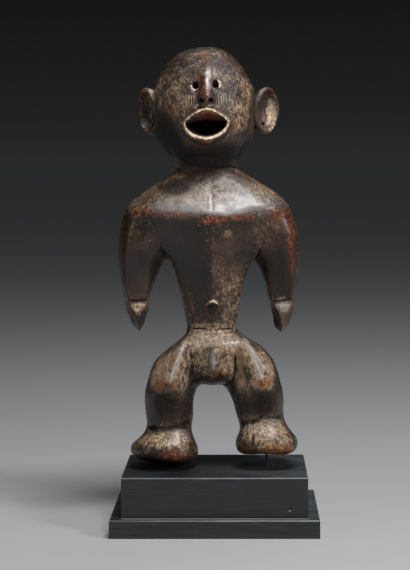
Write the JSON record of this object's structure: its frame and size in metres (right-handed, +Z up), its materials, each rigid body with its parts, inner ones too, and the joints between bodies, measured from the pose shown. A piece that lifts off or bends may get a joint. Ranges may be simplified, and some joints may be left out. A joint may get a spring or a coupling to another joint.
{
  "type": "wooden figure",
  "caption": "Carved wooden standing figure with an open mouth and cupped ears, short legs and pointed hands, held by a steel pin on a black stepped plinth.",
  "frame": {"origin": "middle of the plinth's underside", "axes": "+Z up, the figure faces -Y, +X is the viewer's right"},
  "size_m": [0.137, 0.103, 0.3196],
  "materials": {
    "carved_wood": "dark brown patina, polished where it is worn",
    "black_wood": "black satin stain",
    "pin_steel": "blackened steel"
  },
  "bodies": {
    "root": {"figure": "carved_wood", "support_pin": "pin_steel", "plinth_block": "black_wood", "plinth_slab": "black_wood"}
  },
  "joints": []
}
